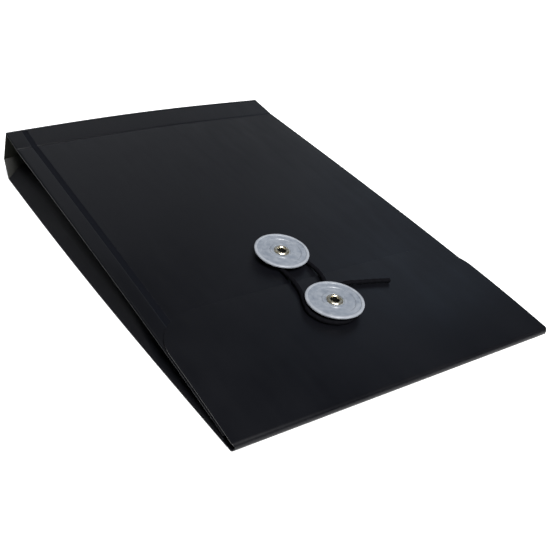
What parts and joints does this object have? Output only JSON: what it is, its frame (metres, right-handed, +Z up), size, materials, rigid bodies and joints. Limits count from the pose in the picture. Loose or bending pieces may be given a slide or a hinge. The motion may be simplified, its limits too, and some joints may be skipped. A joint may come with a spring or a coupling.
{
  "type": "string-tie expanding envelope",
  "caption": "Flat expanding document envelope in black plastic sheet, with folded side gussets, a creased bottom wall and a flap tied shut by a string wound between buttons",
  "frame": {"origin": "middle of the envelope's footprint, on the surface it lies on", "axes": "+Z up out of the front panel's side, +Y along the envelope from the folded flap to the bottom wall, +X to the right seen from above with the flap nearest"},
  "size_m": [0.1588, 0.2388, 0.029],
  "materials": {
    "sheet": "black polypropylene sheet, satin, finely grained",
    "button": "light blue-grey moulded plastic, semi-gloss",
    "eyelet": "bright nickel-plated metal with a warm tint",
    "string": "black round braided cord"
  },
  "bodies": {
    "back": {"back_panel": "sheet", "bottom_wall_lower": "sheet", "bottom_wall_upper": "sheet", "left_gusset_lower": "sheet", "left_gusset_upper": "sheet", "right_gusset_lower": "sheet", "right_gusset_upper": "sheet"},
    "front": {"front_panel": "sheet", "side_seam_tab": "sheet", "front_eyelet": "eyelet"},
    "front_button": {"front_button": "button"},
    "flap": {"flap": "sheet", "flap_eyelet": "eyelet", "string": "string", "string_knot": "string"},
    "flap_button": {"flap_button": "button"}
  },
  "joints": [
    {"name": "expansion", "type": "hinge", "parent": "back", "child": "front", "pos_m": [0, -0.11757, 0.00185], "axis": [1, 0, 0], "range_deg": [-5.6, 0], "stiffness_Nm_per_rad": 0.5, "springref_deg": 8.59, "deforming": ["left_gusset_lower", "left_gusset_upper", "right_gusset_lower", "right_gusset_upper", "bottom_wall_lower", "bottom_wall_upper"]},
    {"name": "flap_fold", "type": "hinge", "parent": "front", "child": "flap", "pos_m": [0, -0.11757, 0.00185], "axis": [1, 0, 0], "range_deg": [0, 162], "deforming": ["string", "string_knot"]},
    {"name": "front_button_spin", "type": "hinge", "parent": "front", "child": "front_button", "pos_m": [-0.003, -0.03492, 0.01293], "axis": [0, -0.1268, 0.9919], "continuous": true},
    {"name": "flap_button_spin", "type": "hinge", "parent": "flap", "child": "flap_button", "pos_m": [-0.003, -0.07402, 0.01012], "axis": [0, -0.0738, 0.9973], "continuous": true}
  ]
}
